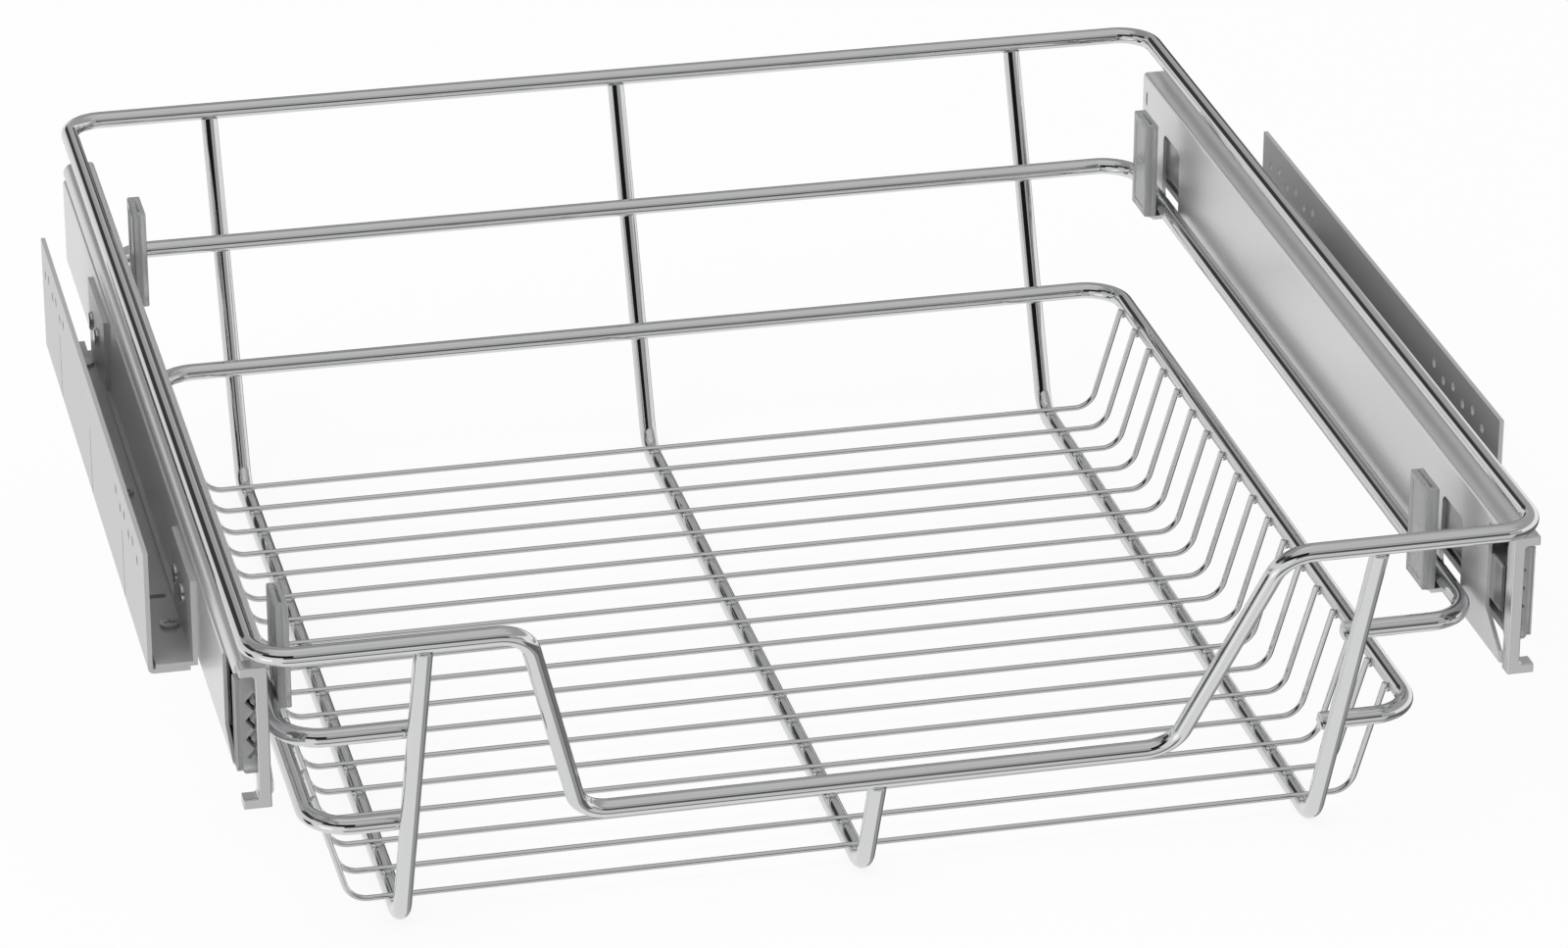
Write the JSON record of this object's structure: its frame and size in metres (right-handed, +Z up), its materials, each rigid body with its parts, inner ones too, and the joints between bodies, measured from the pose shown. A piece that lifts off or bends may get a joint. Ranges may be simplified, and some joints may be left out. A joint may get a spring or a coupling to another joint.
{
  "type": "pull out cabinet basket",
  "caption": "Chrome wire basket for a base cabinet, hung by clips between two ball-bearing runners on side brackets; pulls fully out and lifts off",
  "frame": {"origin": "under the middle of the basket, at the height of its lowest wires", "axes": "X across the cabinet to the right, +Z up, the basket pulls out towards -Y"},
  "size_m": [0.564, 0.567, 0.165],
  "materials": {
    "chrome_wire": "bright chrome plate on drawn steel wire",
    "zinc_plated_steel": "satin zinc-plated sheet steel",
    "cast_zinc": "light grey satin coated casting",
    "bright_steel": "ground and plated steel",
    "clear_grey_plastic": "smoky grey translucent moulded plastic",
    "grey_plastic": "light grey moulded plastic"
  },
  "bodies": {
    "cabinet_side": {"left_bracket_outer_angle": "zinc_plated_steel", "left_bracket_inner_angle": "zinc_plated_steel", "left_bracket_fasteners": "bright_steel", "left_ear_rivets": "bright_steel", "left_cabinet_rail": "zinc_plated_steel", "right_bracket_outer_angle": "zinc_plated_steel", "right_bracket_inner_angle": "zinc_plated_steel", "right_bracket_fasteners": "bright_steel", "right_ear_rivets": "bright_steel", "right_cabinet_rail": "zinc_plated_steel"},
    "drawer_side": {"left_drawer_rail": "zinc_plated_steel", "left_side_profile": "zinc_plated_steel", "left_profile_end_piece": "cast_zinc", "left_front_buffer": "grey_plastic", "left_front_basket_clip": "clear_grey_plastic", "left_rear_basket_clip": "clear_grey_plastic", "right_drawer_rail": "zinc_plated_steel", "right_side_profile": "zinc_plated_steel", "right_profile_end_piece": "cast_zinc", "right_front_buffer": "grey_plastic", "right_front_basket_clip": "clear_grey_plastic", "right_rear_basket_clip": "clear_grey_plastic"},
    "middle_rails": {"left_middle_rail": "zinc_plated_steel", "right_middle_rail": "zinc_plated_steel"},
    "outer_cages": {"left_outer_ball_cage": "bright_steel", "right_outer_ball_cage": "bright_steel"},
    "inner_cages": {"left_inner_ball_cage": "bright_steel", "right_inner_ball_cage": "bright_steel"},
    "basket": {"floor_wire_01": "chrome_wire", "floor_wire_02": "chrome_wire", "floor_wire_03": "chrome_wire", "floor_wire_04": "chrome_wire", "floor_wire_05": "chrome_wire", "floor_wire_06": "chrome_wire", "floor_wire_07": "chrome_wire", "floor_wire_08": "chrome_wire", "floor_wire_09": "chrome_wire", "floor_wire_10": "chrome_wire", "floor_wire_11": "chrome_wire", "floor_wire_12": "chrome_wire", "floor_wire_13": "chrome_wire", "floor_wire_14": "chrome_wire", "floor_wire_15": "chrome_wire", "floor_wire_16": "chrome_wire", "floor_wire_17": "chrome_wire", "floor_wire_18": "chrome_wire", "left_bearer_wire": "chrome_wire", "lower_ring_wire": "chrome_wire", "middle_bearer_wire": "chrome_wire", "middle_ring_wire": "chrome_wire", "right_bearer_wire": "chrome_wire", "top_rim_wire": "chrome_wire"}
  },
  "joints": [
    {"name": "pull_out", "type": "slide", "parent": "cabinet_side", "child": "drawer_side", "axis": [0, -1, 0], "range_m": [0, 0.5]},
    {"name": "middle_rails_follow", "type": "slide", "parent": "cabinet_side", "child": "middle_rails", "axis": [0, -1, 0], "range_m": [0, 0.25]},
    {"name": "outer_cages_roll", "type": "slide", "parent": "cabinet_side", "child": "outer_cages", "axis": [0, -1, 0], "range_m": [0, 0.125]},
    {"name": "inner_cages_roll", "type": "slide", "parent": "cabinet_side", "child": "inner_cages", "axis": [0, -1, 0], "range_m": [0, 0.375]},
    {"name": "basket_lift", "type": "slide", "parent": "drawer_side", "child": "basket", "axis": [0, 0, 1], "range_m": [0, 0.12]}
  ],
  "couplings": [
    {"joint": "middle_rails_follow", "follows": "pull_out", "ratio": 0.5},
    {"joint": "outer_cages_roll", "follows": "pull_out", "ratio": 0.25},
    {"joint": "inner_cages_roll", "follows": "pull_out", "ratio": 0.75}
  ]
}
